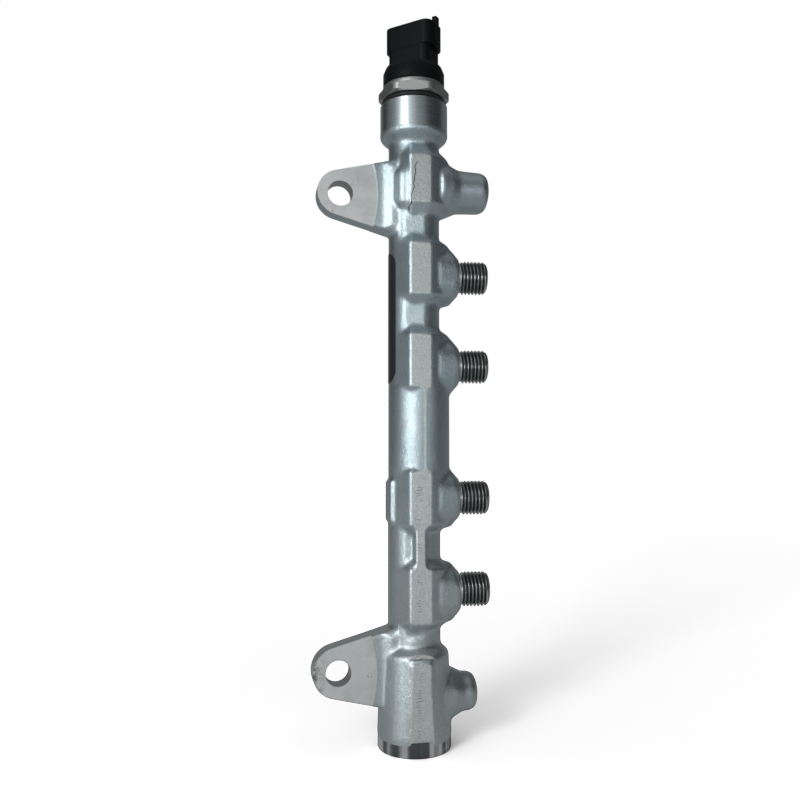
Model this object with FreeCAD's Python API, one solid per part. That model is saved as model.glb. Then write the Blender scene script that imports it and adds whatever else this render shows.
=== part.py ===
"""Forged diesel fuel rail with a screwed-in pressure sensor. All sizes are in millimetres.

The rail stands on its closed end: +Z runs along the main bore towards the sensor, and the origin is
the centre of the closed end's turned face. The two mounting lugs reach out along -X and their bolt
holes run along Y. The four line nipples and the two forged stubs reach out on the +X side. The
forging's trim lands, where the flash was cut off, run down the front (-Y) and the back (+Y).
"""

import FreeCAD
import Part

import math
import os

V = FreeCAD.Vector
X_AXIS = V(1, 0, 0)
Y_AXIS = V(0, 1, 0)
Z_AXIS = V(0, 0, 1)
ORIGIN = V(0, 0, 0)

# Rail trunk
RAIL_HEIGHT = 266.8  # closed end's face to the top of the sensor collar
TUBE_R = 10.7
MAIN_BORE_R = 4.75
CLOSED_END_WALL = 14.0  # steel left below the main bore
DRILL_POINT_ANGLE = 118.0

# Forged bulges that carry the nipples, and the thick run between the middle two
BULGE_SIDE_R = 12.75
BULGE_HEIGHT = 28.2  # root to root along the rail
LAND_HEIGHT = 21.6  # full section between the sloping ends
LAND_WIDTH = 8.7
LAND_REACH = 12.9  # rail axis to the trimmed flat
ROOT_INSET = 0.9  # how far a bulge's sloping ends run on below the tube's skin
RIB_WIDTH = 4.7  # the land that joins the two lowest bulges
RIB_ROOT_FILLET = 3.5
NECK_FLAT_DEPTH = 0.75  # flat forged on the necks, just left of the trim line
NECK_FLAT_TURN = 11.0  # degrees round from the front, towards the lugs

# Line nipples
LOWEST_NIPPLE_Z = 63.3
TOP_NIPPLE_DROP = 73.1  # below the top of the sensor collar
PAIR_PITCH = 37.8  # between the nipples of one pair
BULGE_1_LIFT = -0.9  # how far each forged bulge sits above its nipple, counted from below
BULGE_2_LIFT = 0.3
BULGE_3_LIFT = 1.6
BULGE_4_LIFT = 1.6
NIPPLE_TURN = -6.0  # degrees about Z, away from +X
NIPPLE_R = 7.0  # M14 thread, outside
NIPPLE_TIP = 30.8  # rail axis to the nipple's end
NIPPLE_LENGTH = 12.1  # from the end of its forged base
NIPPLE_RELIEF_DEPTH = 0.95
NIPPLE_RELIEF_WIDTH = 1.1
NIPPLE_TIP_CHAMFER = 2.3
SEAT_MOUTH_R = 4.3
SEAT_ANGLE = 60.0  # included angle of the sealing cone
LINE_BORE_R = 1.5
THROTTLE_R = 0.45
THROTTLE_LENGTH = 7.0
BASE_SHOULDER_HALF_HEIGHT = 11.3
BASE_SHOULDER_HALF_WIDTH = 8.7
BASE_SHOULDER_SETBACK = 3.3
BASE_FOOT_GROWTH = 2.0  # how much wider and taller a dome is where it leaves the tube
BASE_LEDGE = 0.6  # the narrow ring that a dome's end shows round its nipple or stub
LOWEST_DOME_DROP = 0.8  # how far the lowest dome's middle sits below its nipple

# Upper bulge with its blind stub
UPPER_BULGE_DROP = 34.2  # below the top of the sensor collar
UPPER_BULGE_HEIGHT = 29.6
UPPER_LAND_HEIGHT = 19.8
UPPER_STUB_DROP = 35.6
UPPER_STUB_R = 8.6
UPPER_STUB_TIP = 31.6
UPPER_STUB_ROOT = 18.4
UPPER_DOME_HALF_HEIGHT = 10.7
UPPER_DOME_HALF_WIDTH = 10.0
KNOB_R = 4.0
KNOB_LEFT = 5.6  # rail axis to the knob's axis, towards the lugs
KNOB_REACH = 7.7  # and to the front or back
KNOB_DROP = 37.5
KNOB_LENGTH = 18.0
KNOB_END_CHAMFER = 2.6

# Closed end
END_BODY_R = 15.1
END_BODY_TOP_R = 14.0
END_BODY_HEIGHT = 38.8
END_SHOULDER_HEIGHT = 6.5
END_SHOULDER_ROUND = 2.6
END_SHOULDER_FOOT = 2.9  # height of the steep part of the shoulder
END_LAND_REACH = 14.3
END_BAND_R = 14.9
END_BAND_HEIGHT = 6.2
END_RIM_ROUND = 0.4
LOWER_STUB_Z = 21.2
LOWER_STUB_R = 7.6
LOWER_STUB_TIP = 25.6
LOWER_STUB_ROOT = 19.0
LOWER_DOME_HALF_HEIGHT = 9.9
LOWER_DOME_HALF_WIDTH = 9.0

STUB_DRAFT = 2.5  # degrees
STUB_TIP_ROUND = 3.2

# Mounting lugs
LOWER_LUG_Z = 32.0
UPPER_LUG_DROP = 40.1  # below the top of the sensor collar
LUG_REACH = 31.9  # rail axis to the bolt hole
LOWER_LUG_TIP_R = 10.2
UPPER_LUG_TIP_R = 9.5
UPPER_LUG_EYE_RISE = 0.4  # how far the forged tip's centre lies above the bolt hole
LOWER_LUG_EYE_RISE = 0.1
LUG_ROOT_BEVEL = 2.7  # height of the slope that takes the thick root down to the forged plate
LUG_HOLE_R = 5.25
LUG_HOLE_CHAMFER = 0.35
LUG_THICKNESS = 8.0  # between the milled faces
LUG_FORGED_THICKNESS = 10.6
LUG_ROOT_THICKNESS = 14.5
LUG_WEB_START = 14.3  # rail axis to where the web is down to the forged thickness
LUG_WEB_ROUND = 4.0
LUG_INNER_SLOPE = 15.6  # edge towards the middle of the rail, degrees
LUG_OUTER_SLOPE = 13.0  # edge towards the rail's end, degrees
LUG_ROOT_FILLET = 2.5
LUG_ROOT_X = 8.6  # rail axis to where a lug's straight edges end, inside the tube
MILLED_FACE_START = 16.3  # rail axis to the step that the milling cutter leaves
MILLING_CUTTER_R = 46.0

# Sensor collar
COLLAR_R = 14.25
COLLAR_LENGTH = 13.2
COLLAR_CHAMFER = 0.5
FLARE_R = 14.5
FLARE_EDGE_HEIGHT = 0.8
FLARE_HEIGHT = 3.8
COLLAR_NECK_R = 10.2
COLLAR_NECK_LENGTH = 6.5
FLARE_ROOT_ROUND = 2.0
FLARE_EDGE_ROUND = 1.8
PORT_THREAD_R = 8.2  # M18 thread, inside
PORT_DEPTH = 13.5
PORT_MOUTH_CHAMFER = 0.9

# Raised pad on the lug side
PAD_DROP = 1.1  # below the second nipple
PAD_LENGTH = 17.0
PAD_WIDTH = 10.0
PAD_HEIGHT = 0.5
PAD_EDGE = 0.4

# Label foil
LABEL_LIFT = 1.0  # above the middle of the upper pair of nipples
LABEL_LENGTH = 54.5
LABEL_WIDTH = 11.6
LABEL_THICKNESS = 0.15
LABEL_END_R = 5.6

# Pressure sensor
SENSOR_STEM_CLEARANCE = 0.05
SENSOR_NOSE_R = 6.6
SENSOR_NOSE_LENGTH = 1.7
SENSOR_CHANNEL_R = 1.5
SENSOR_SHOULDER_R = 10.5
SENSOR_SHOULDER_GAP = 0.5
DUST_SEAL_HEIGHT = 2.2
DUST_SEAL_R = 13.7
DUST_SEAL_ROUND = 1.0
HEX_ACROSS_FLATS = 27.0
HEX_CORNER_R = 15.0
HEX_HEIGHT = 4.2
HEX_CHAMFER_ANGLE = 30.0
HEX_TURN = -14.0  # degrees, from a flat facing -Y
RIM_R = 13.2
RIM_HEIGHT = 2.1
RIM_LIP_THICKNESS = 0.7
RIM_LIP_WIDTH = 0.8
RIM_WALL = 1.1
ROOM_R = 9.6
ROOM_DEPTH = 2.8
CELL_R = 3.6
CELL_HEIGHT = 2.3
CELL_BORE_R = 2.2
CELL_DIAPHRAGM = 0.5
BOARD_R = 10.5
BOARD_THICKNESS = 1.0
FLANGE_SEAT_DEPTH = 1.8  # top of the hexagon down to the ledge for the plastic flange
FLANGE_CLEARANCE = 0.05
SEAL_SECTION = 1.2  # the sealing ring's section is square
SEAL_CORNER_CLEARANCE = 0.1

# Plastic plug housing
HOUSING_BASE_R = 13.05
HOUSING_BASE_HEIGHT = 8.6
HOUSING_BASE_ROUND = 3.4
HOUSING_BASE_EDGE = 0.4
HOUSING_TURN = -42.0  # degrees, from the wide face at -Y
HEADER_WIDTH = 22.0
HEADER_DEPTH = 13.3
HEADER_CORNER_R = 3.6
HEADER_BOTTOM = 15.7  # above the rim's lip
HEADER_HEIGHT = 10.0
NECK_WIDTH = 19.4
NECK_DEPTH = 13.0
NECK_CORNER_R = 3.2
SOCKET_WALL = 1.5
SOCKET_DEPTH = 11.5
KEY_RIB_WIDTH = 2.0
KEY_RIB_REACH = 1.1
KEY_RIB_INSET = 1.0  # below the mouth of the socket
LATCH_RIB_WIDTH = 2.4
LATCH_RIB_REACH = 0.9
LATCH_RIB_RISE = 2.9  # above the mouth of the socket
LATCH_RIB_START = 1.2  # above the header's lower edge
LATCH_RIB_EDGE = 0.5
PIN_WIDTH = 1.5
PIN_THICKNESS = 0.64
PIN_PITCH = 4.4
PIN_TIP_DEPTH = 5.2  # below the mouth of the socket

# Levels and places that follow from the sizes above
TOP_NIPPLE_Z = RAIL_HEIGHT - TOP_NIPPLE_DROP
NIPPLE_HEIGHTS = (
    LOWEST_NIPPLE_Z,
    LOWEST_NIPPLE_Z + PAIR_PITCH,
    TOP_NIPPLE_Z - PAIR_PITCH,
    TOP_NIPPLE_Z,
)
BULGE_HEIGHTS = (
    NIPPLE_HEIGHTS[0] + BULGE_1_LIFT,
    NIPPLE_HEIGHTS[1] + BULGE_2_LIFT,
    NIPPLE_HEIGHTS[2] + BULGE_3_LIFT,
    NIPPLE_HEIGHTS[3] + BULGE_4_LIFT,
)
DOME_HEIGHTS = (NIPPLE_HEIGHTS[0] - LOWEST_DOME_DROP,) + NIPPLE_HEIGHTS[1:]
UPPER_BULGE_Z = RAIL_HEIGHT - UPPER_BULGE_DROP
UPPER_STUB_Z = RAIL_HEIGHT - UPPER_STUB_DROP
UPPER_LUG_Z = RAIL_HEIGHT - UPPER_LUG_DROP
KNOB_Z = RAIL_HEIGHT - KNOB_DROP
PAD_Z = NIPPLE_HEIGHTS[1] - PAD_DROP
LABEL_Z = TOP_NIPPLE_Z - PAIR_PITCH / 2 + LABEL_LIFT
BULGE_OFFSET = BULGE_SIDE_R - TUBE_R  # keeps the lug side of the trunk one plain line
NIPPLE_BASE_END = NIPPLE_TIP - NIPPLE_LENGTH
COLLAR_BOTTOM = RAIL_HEIGHT - COLLAR_LENGTH
FLARE_BOTTOM = COLLAR_BOTTOM - FLARE_EDGE_HEIGHT - FLARE_HEIGHT
PORT_FLOOR = RAIL_HEIGHT - PORT_DEPTH
HEX_BOTTOM = RAIL_HEIGHT + DUST_SEAL_HEIGHT
HEX_TOP = HEX_BOTTOM + HEX_HEIGHT
RIM_TOP = HEX_TOP + RIM_HEIGHT
RIM_BORE_R = RIM_R - RIM_WALL
LEDGE_Z = HEX_TOP - FLANGE_SEAT_DEPTH
ROOM_FLOOR = LEDGE_Z - ROOM_DEPTH
FLANGE_TOP = RIM_TOP - RIM_LIP_THICKNESS
FLANGE_R = RIM_BORE_R - FLANGE_CLEARANCE
BASE_TOP = RIM_TOP + HOUSING_BASE_HEIGHT
HEADER_Z = RIM_TOP + HEADER_BOTTOM
HEADER_TOP = HEADER_Z + HEADER_HEIGHT
OVERRUN = 1.0  # how far a cutter runs past the face it leaves
RADIUS_PER_CHORD = 1.5  # turned rounds are one short cone for each so much of their radius


def corner_arc(before, corner, after, radius):
    """The two tangent points and the middle point of an arc that rounds a corner."""
    towards_before = (before - corner).normalize()
    towards_after = (after - corner).normalize()
    half_angle = towards_before.getAngle(towards_after) / 2
    bisector = (towards_before + towards_after).normalize()
    run = radius / math.tan(half_angle)
    start = corner + towards_before * run
    end = corner + towards_after * run
    middle = corner + bisector * (radius / math.sin(half_angle) - radius)
    return start, middle, end


def outline(corners, to_space):
    """A closed wire through corners (a, b) or (a, b, radius), put in space by to_space."""
    points = [to_space(corner[0], corner[1]) for corner in corners]
    edges = []
    starts = []
    ends = []
    arcs = []
    for index, corner in enumerate(corners):
        point = points[index]
        if len(corner) == 2:
            starts.append(point)
            ends.append(point)
            continue
        after = points[(index + 1) % len(points)]
        start, middle, end = corner_arc(points[index - 1], point, after, corner[2])
        starts.append(start)
        ends.append(end)
        arcs.append(Part.Arc(start, middle, end).toShape())
    for index in range(len(points)):
        following = (index + 1) % len(points)
        edges.append(Part.makeLine(ends[index], starts[following]))
    return Part.Wire(Part.__sortEdges__(edges + arcs))


def chorded(corners):
    """The corners as plain points, each rounded one as the few chords of its arc."""
    points = [flat_xy(corner[0], corner[1]) for corner in corners]
    chords = []
    for index, corner in enumerate(corners):
        if len(corner) == 2:
            chords.append(corner)
            continue
        after = points[(index + 1) % len(points)]
        start, middle, end = corner_arc(points[index - 1], points[index], after, corner[2])
        arc = Part.Arc(start, middle, end)
        steps = max(1, round(corner[2] / RADIUS_PER_CHORD))
        chords += [(point.x, point.y) for point in arc.discretize(steps + 1)]
    return chords


def flat_xy(a, b):
    return V(a, b, 0)


def flat_xz(a, b):
    return V(a, 0, b)


def flat_yz(a, b):
    return V(0, a, b)


def turned_on_z(corners):
    """A solid of revolution on the rail's axis, from corners (radius, z)."""
    return Part.Face(outline(chorded(corners), flat_xz)).revolve(ORIGIN, Z_AXIS, 360)


def turned_on_x(corners):
    """A solid of revolution on the X axis, from corners (x, radius)."""
    return Part.Face(outline(chorded(corners), flat_xz)).revolve(ORIGIN, X_AXIS, 360)


def rod(radius, low, high):
    """A cylinder on the rail's axis."""
    return Part.makeCylinder(radius, high - low, V(0, 0, low))


def ring(inner_r, outer_r, low, high):
    """A plain ring on the rail's axis."""
    return rod(outer_r, low, high).cut(rod(inner_r, low, high))


def rod_on_y(radius, length, x, z):
    return Part.makeCylinder(radius, length, V(x, -length / 2, z), Y_AXIS)


def centred_block(width, depth, low, high):
    return Part.makeBox(width, depth, high - low, V(-width / 2, -depth / 2, low))


def raised(shape, height):
    moved = shape.copy()
    moved.translate(V(0, 0, height))
    return moved


def turned_about_rail(shape, degrees):
    turned = shape.copy()
    turned.rotate(ORIGIN, Z_AXIS, degrees)
    return turned


def rounded_block(width, depth, corner_r, low, high):
    half_width = width / 2
    half_depth = depth / 2
    corners = [
        (-half_width, -half_depth, corner_r),
        (half_width, -half_depth, corner_r),
        (half_width, half_depth, corner_r),
        (-half_width, half_depth, corner_r),
    ]
    face = Part.Face(outline(corners, flat_xy))
    return raised(face.extrude(V(0, 0, high - low)), low)


def polar(centre_x, radius, degrees):
    angle = math.radians(degrees)
    return V(centre_x + radius * math.cos(angle), radius * math.sin(angle), 0)


def tangent_angle(corner, centre_x, radius, side):
    """Where on a circle the tangent from a corner touches, in degrees. side is -1 or +1."""
    offset = corner - V(centre_x, 0, 0)
    bearing = math.degrees(math.atan2(offset.y, offset.x))
    return bearing + side * math.degrees(math.acos(radius / offset.Length))


def forged_section(tube_r, side_r, land_width, land_reach):
    """The trunk's section at a bulge: round on both sides, with a trimmed flat front and back."""
    side_x = side_r - tube_r
    land_left = V(-land_width / 2, -land_reach, 0)
    land_right = V(land_width / 2, -land_reach, 0)
    left_angle = tangent_angle(land_left, 0, tube_r, -1)
    right_angle = tangent_angle(land_right, side_x, side_r, 1)
    left = polar(0, tube_r, left_angle)
    right = polar(side_x, side_r, right_angle)
    back = [V(point.x, -point.y, 0) for point in (land_left, land_right, left, right)]
    back_land_left, back_land_right, back_left, back_right = back
    edges = [
        Part.makeLine(left, land_left),
        Part.makeLine(land_left, land_right),
        Part.makeLine(land_right, right),
        Part.Arc(right, V(side_x + side_r, 0, 0), back_right).toShape(),
        Part.makeLine(back_right, back_land_right),
        Part.makeLine(back_land_right, back_land_left),
        Part.makeLine(back_land_left, back_left),
        Part.Arc(back_left, V(-tube_r, 0, 0), left).toShape(),
    ]
    return Part.Wire(edges)


def forged_bulge(z, height, land_height):
    """A bulge of the trunk: full section over the land, sloping down to the tube at both ends."""
    slope_drop = LAND_REACH - TUBE_R
    root_r = TUBE_R - ROOT_INSET
    full = forged_section(TUBE_R, BULGE_SIDE_R, LAND_WIDTH, LAND_REACH)
    root = forged_section(
        root_r, root_r + ROOT_INSET / 9, LAND_WIDTH - slope_drop, TUBE_R - ROOT_INSET / 2
    )
    sections = [
        raised(root, z - height / 2),
        raised(full, z - land_height / 2),
        raised(full, z + land_height / 2),
        raised(root, z + height / 2),
    ]
    return Part.makeLoft(sections, True, True)


def trunk_tube():
    """The plain tube, with the shallow flat that the dies leave on its necks."""
    tube = rod(TUBE_R, END_BODY_HEIGHT, FLARE_BOTTOM)
    flat_reach = TUBE_R - NECK_FLAT_DEPTH
    size = 2 * TUBE_R
    cutter = Part.makeBox(
        size, size, RAIL_HEIGHT, V(-TUBE_R, -flat_reach - size, 0)
    )
    return tube.cut(turned_about_rail(cutter, -NECK_FLAT_TURN))


def thick_run():
    """The thicker, offset run between the two pairs of nipples."""
    low = BULGE_HEIGHTS[1] + LAND_HEIGHT / 2
    high = BULGE_HEIGHTS[2] - LAND_HEIGHT / 2
    return Part.makeCylinder(BULGE_SIDE_R, high - low, V(BULGE_OFFSET, 0, low))


def trim_rib():
    """The narrow land that runs on from bulge to bulge over the lowest neck, front and back."""
    low = BULGE_HEIGHTS[0] + LAND_HEIGHT / 2
    high = BULGE_HEIGHTS[1] - LAND_HEIGHT / 2
    half_rib = RIB_WIDTH / 2
    half_land = LAND_WIDTH / 2
    corners = [
        (-half_land, low - OVERRUN),
        (half_land, low - OVERRUN),
        (half_land, low),
        (half_rib, low, RIB_ROOT_FILLET / 2),
        (half_rib, high, RIB_ROOT_FILLET / 2),
        (half_land, high),
        (half_land, high + OVERRUN),
        (-half_land, high + OVERRUN),
        (-half_land, high),
        (-half_rib, high, RIB_ROOT_FILLET / 2),
        (-half_rib, low, RIB_ROOT_FILLET / 2),
        (-half_land, low),
    ]
    face = Part.Face(outline(corners, flat_xz))
    face.translate(V(0, -LAND_REACH, 0))
    return face.extrude(V(0, 2 * LAND_REACH, 0))


def forged_dome(end_x, half_width, half_height, end_r):
    """The dome between the trunk and a nipple or stub, taller than wide, turned off at its end."""
    foot_x = TUBE_R - BASE_FOOT_GROWTH / 2
    shoulder_x = end_x - BASE_SHOULDER_SETBACK
    foot_width = half_width + BASE_FOOT_GROWTH
    end_width = end_r + BASE_LEDGE
    spread = half_height - half_width
    round_end = Part.makeCone(foot_width, end_width, end_x - foot_x, V(foot_x, 0, -spread), X_AXIS)
    between = Part.Face(outline([
        (foot_x, -foot_width),
        (end_x, -end_width),
        (end_x, end_width),
        (foot_x, foot_width),
    ], flat_xy)).extrude(V(0, 0, 2 * spread))
    tapered = round_end.multiFuse([raised(round_end, 2 * spread), raised(between, -spread)])
    slope = (half_height - end_r) / BASE_SHOULDER_SETBACK
    turning = turned_on_x([
        (foot_x, 0),
        (foot_x, half_height + slope * (shoulder_x - foot_x)),
        (end_x, end_r),
        (end_x, 0),
    ])
    return tapered.common(turning)


def nipple_base():
    return forged_dome(
        NIPPLE_BASE_END, BASE_SHOULDER_HALF_WIDTH, BASE_SHOULDER_HALF_HEIGHT, NIPPLE_R + BASE_LEDGE
    )


def nipple():
    """A line nipple: relief, plain thread cylinder and chamfered tip."""
    relief_r = NIPPLE_R - NIPPLE_RELIEF_DEPTH
    thread_start = NIPPLE_BASE_END + NIPPLE_RELIEF_WIDTH
    return turned_on_x([
        (0, 0),
        (0, relief_r),
        (thread_start, relief_r),
        (thread_start, NIPPLE_R),
        (NIPPLE_TIP - NIPPLE_TIP_CHAMFER, NIPPLE_R),
        (NIPPLE_TIP, NIPPLE_R - NIPPLE_TIP_CHAMFER),
        (NIPPLE_TIP, 0),
    ])


def line_drilling():
    """The passage from a nipple's sealing cone, through its throttle, to the main bore."""
    seat_depth = (SEAT_MOUTH_R - LINE_BORE_R) / math.tan(math.radians(SEAT_ANGLE / 2))
    throttle_end = MAIN_BORE_R + THROTTLE_LENGTH
    drill_point = (LINE_BORE_R - THROTTLE_R) / math.tan(math.radians(DRILL_POINT_ANGLE / 2))
    return turned_on_x([
        (0, 0),
        (0, THROTTLE_R),
        (throttle_end, THROTTLE_R),
        (throttle_end + drill_point, LINE_BORE_R),
        (NIPPLE_TIP - seat_depth, LINE_BORE_R),
        (NIPPLE_TIP, SEAT_MOUTH_R),
        (NIPPLE_TIP + OVERRUN, SEAT_MOUTH_R),
        (NIPPLE_TIP + OVERRUN, 0),
    ])


def along_nipples(shape, heights):
    """One copy of a shape built along +X, turned to the nipples' direction, at each height."""
    turned = turned_about_rail(shape, NIPPLE_TURN)
    return [raised(turned, height) for height in heights]


def blind_stub(radius, root, tip):
    """A stub that the forging has for other versions of the rail, and that this one leaves blind."""
    root_r = radius + (tip - root) * math.tan(math.radians(STUB_DRAFT))
    return turned_on_x([
        (0, 0),
        (0, root_r),
        (root, root_r),
        (tip, radius, STUB_TIP_ROUND),
        (tip, 0),
    ])


def upper_knobs():
    """The rounded lumps beside the upper land, front and back, over the root of the lug."""
    half = KNOB_LENGTH / 2
    end_r = KNOB_R - KNOB_END_CHAMFER
    knob = turned_on_z([
        (0, -half),
        (end_r, -half),
        (KNOB_R, -half + KNOB_END_CHAMFER, KNOB_END_CHAMFER),
        (KNOB_R, half - KNOB_END_CHAMFER, KNOB_END_CHAMFER),
        (end_r, half),
        (0, half),
    ])
    knob.translate(V(-KNOB_LEFT, -KNOB_REACH, KNOB_Z))
    return [knob, knob.mirror(ORIGIN, Y_AXIS)]


def upper_stub():
    dome = forged_dome(
        UPPER_STUB_ROOT, UPPER_DOME_HALF_WIDTH, UPPER_DOME_HALF_HEIGHT, UPPER_STUB_R + BASE_LEDGE
    )
    stub = blind_stub(UPPER_STUB_R, UPPER_STUB_ROOT, UPPER_STUB_TIP)
    return [raised(dome, UPPER_STUB_Z), raised(stub, UPPER_STUB_Z)]


def lower_stub():
    dome = forged_dome(
        LOWER_STUB_ROOT, LOWER_DOME_HALF_WIDTH, LOWER_DOME_HALF_HEIGHT, LOWER_STUB_R + BASE_LEDGE
    )
    stub = blind_stub(LOWER_STUB_R, LOWER_STUB_ROOT, LOWER_STUB_TIP)
    return [raised(dome, LOWER_STUB_Z), raised(stub, LOWER_STUB_Z)]


def end_body():
    """The thick closed end, with its turned band and the trimmed flats above the band."""
    body = turned_on_z([
        (0, END_BAND_HEIGHT),
        (END_BODY_R, END_BAND_HEIGHT),
        (END_BODY_TOP_R, END_BODY_HEIGHT, END_SHOULDER_ROUND),
        (TUBE_R, END_BODY_HEIGHT + END_SHOULDER_FOOT, END_SHOULDER_ROUND / 2),
        (TUBE_R, END_BODY_HEIGHT + END_SHOULDER_HEIGHT),
        (0, END_BODY_HEIGHT + END_SHOULDER_HEIGHT),
    ])
    between_flats = centred_block(
        2 * END_BODY_R, 2 * END_LAND_REACH, 0, END_BODY_HEIGHT + END_SHOULDER_HEIGHT
    )
    land_top_reach = END_LAND_REACH - END_SHOULDER_ROUND
    land = Part.Face(outline([
        (-END_LAND_REACH, END_BAND_HEIGHT),
        (END_LAND_REACH, END_BAND_HEIGHT),
        (END_LAND_REACH, END_BODY_HEIGHT - END_SHOULDER_ROUND),
        (land_top_reach, END_BODY_HEIGHT),
        (-land_top_reach, END_BODY_HEIGHT),
        (-END_LAND_REACH, END_BODY_HEIGHT - END_SHOULDER_ROUND),
    ], flat_yz))
    land.translate(V(-LAND_WIDTH / 2, 0, 0))
    band = turned_on_z([
        (0, 0),
        (END_BAND_R, 0, END_RIM_ROUND),
        (END_BAND_R, END_BAND_HEIGHT),
        (0, END_BAND_HEIGHT),
    ])
    return [body.common(between_flats), land.extrude(V(LAND_WIDTH, 0, 0)), band]


def sensor_collar():
    """The turned collar, the forged flare below it and the neck that joins it to the tube."""
    return turned_on_z([
        (0, FLARE_BOTTOM - COLLAR_NECK_LENGTH),
        (COLLAR_NECK_R, FLARE_BOTTOM - COLLAR_NECK_LENGTH),
        (COLLAR_NECK_R, FLARE_BOTTOM, FLARE_ROOT_ROUND),
        (FLARE_R, COLLAR_BOTTOM - FLARE_EDGE_HEIGHT, FLARE_EDGE_ROUND),
        (FLARE_R, COLLAR_BOTTOM),
        (COLLAR_R, COLLAR_BOTTOM),
        (COLLAR_R, RAIL_HEIGHT - COLLAR_CHAMFER),
        (COLLAR_R - COLLAR_CHAMFER, RAIL_HEIGHT),
        (0, RAIL_HEIGHT),
    ])


def lug_edge_height(slope, tip_r):
    """Half-height of a lug at its root, along the straight edge with this slope."""
    angle = math.radians(slope)
    return tip_r / math.cos(angle) + (LUG_REACH - LUG_ROOT_X) * math.tan(angle)


def lug_side_view(inner_side, tip_r, y):
    """A lug's outline in the plane at y: a round tip and two edges that run out to the tube."""
    inner_height = inner_side * lug_edge_height(LUG_INNER_SLOPE, tip_r)
    outer_height = -inner_side * lug_edge_height(LUG_OUTER_SLOPE, tip_r)
    inner = math.tan(math.radians(LUG_INNER_SLOPE))
    outer = math.tan(math.radians(LUG_OUTER_SLOPE))
    apex = LUG_ROOT_X + abs(inner_height - outer_height) / (inner + outer)
    apex_height = inner_height - inner_side * (apex - LUG_ROOT_X) * inner
    tail = inner_side * (LUG_ROOT_FILLET + OVERRUN)
    wire = outline([
        (0, inner_height + tail),
        (-LUG_ROOT_X, inner_height + tail),
        (-LUG_ROOT_X, inner_height, LUG_ROOT_FILLET),
        (-apex, apex_height, tip_r),
        (-LUG_ROOT_X, outer_height, LUG_ROOT_FILLET),
        (-LUG_ROOT_X, outer_height - tail),
        (0, outer_height - tail),
    ], flat_xz)
    wire.translate(V(0, y, 0))
    return wire


def lug_plan():
    """A lug's section along the rail: a thick root that thins to the forged plate."""
    half_forged = LUG_FORGED_THICKNESS / 2
    half_root = LUG_ROOT_THICKNESS / 2
    end = LUG_REACH + 2 * LOWER_LUG_TIP_R
    return Part.Face(outline([
        (0, -half_root),
        (0, half_root),
        (-TUBE_R, half_root, LUG_WEB_ROUND),
        (-LUG_WEB_START, half_forged, LUG_WEB_ROUND),
        (-end, half_forged),
        (-end, -half_forged),
        (-LUG_WEB_START, -half_forged, LUG_WEB_ROUND),
        (-TUBE_R, -half_root, LUG_WEB_ROUND),
    ], flat_xy))


def mounting_lug(z, inner_side, tip_r, eye_rise, trunk):
    """The part of the forging that is a lug, outside the trunk, milled and drilled at height z.

    inner_side is +1 where the rail's middle is above the lug.
    """
    half_forged = LUG_FORGED_THICKNESS / 2
    half_root = LUG_ROOT_THICKNESS / 2
    root_tip_r = tip_r - LUG_ROOT_BEVEL
    sections = [
        lug_side_view(inner_side, root_tip_r, -half_root),
        lug_side_view(inner_side, tip_r, -half_forged),
        lug_side_view(inner_side, tip_r, half_forged),
        lug_side_view(inner_side, root_tip_r, half_root),
    ]
    plate = raised(Part.makeLoft(sections, True, True), z + eye_rise)
    forged = plate.common(lug_plan().extrude(V(0, 0, RAIL_HEIGHT)))
    return forged.cut([trunk] + lug_milling(z)).removeSplitter()


def lug_milling(z):
    """What the face mill and the drill take off a lug: both faces, the bolt hole and its edges."""
    cutter_x = -MILLED_FACE_START - MILLING_CUTTER_R
    face = Part.makeCylinder(
        MILLING_CUTTER_R, LUG_ROOT_THICKNESS, V(cutter_x, LUG_THICKNESS / 2, z), Y_AXIS
    )
    opposite = face.mirror(ORIGIN, Y_AXIS)
    hole = rod_on_y(LUG_HOLE_R, 2 * LUG_THICKNESS, -LUG_REACH, z)
    cuts = [face, opposite, hole]
    edge_r = LUG_HOLE_R + LUG_HOLE_CHAMFER
    for side in (-1, 1):
        edge = Part.makeCone(
            LUG_HOLE_R,
            edge_r,
            LUG_HOLE_CHAMFER,
            V(-LUG_REACH, side * (LUG_THICKNESS / 2 - LUG_HOLE_CHAMFER), z),
            V(0, side, 0),
        )
        cuts.append(edge)
    return cuts


def marking_pad():
    """A low raised pad on the lug side, where such a rail is stamped. It is left plain."""
    reach = TUBE_R + PAD_HEIGHT
    pad = Part.makeBox(
        reach, PAD_WIDTH, PAD_LENGTH, V(-reach, -PAD_WIDTH / 2, PAD_Z - PAD_LENGTH / 2)
    )
    outer_edges = [
        edge for edge in pad.Edges
        if all(abs(vertex.X + reach) < 1e-6 for vertex in edge.Vertexes)
    ]
    return pad.makeChamfer(PAD_EDGE, outer_edges)


def main_bore():
    """The sensor port and the deep bore, which ends in a drill point above the closed end."""
    point_length = MAIN_BORE_R / math.tan(math.radians(DRILL_POINT_ANGLE / 2))
    mouth_r = PORT_THREAD_R + PORT_MOUTH_CHAMFER
    return turned_on_z([
        (0, CLOSED_END_WALL),
        (MAIN_BORE_R, CLOSED_END_WALL + point_length),
        (MAIN_BORE_R, PORT_FLOOR),
        (PORT_THREAD_R, PORT_FLOOR),
        (PORT_THREAD_R, RAIL_HEIGHT - PORT_MOUTH_CHAMFER),
        (mouth_r, RAIL_HEIGHT),
        (mouth_r, RAIL_HEIGHT + OVERRUN),
        (0, RAIL_HEIGHT + OVERRUN),
    ])


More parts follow.
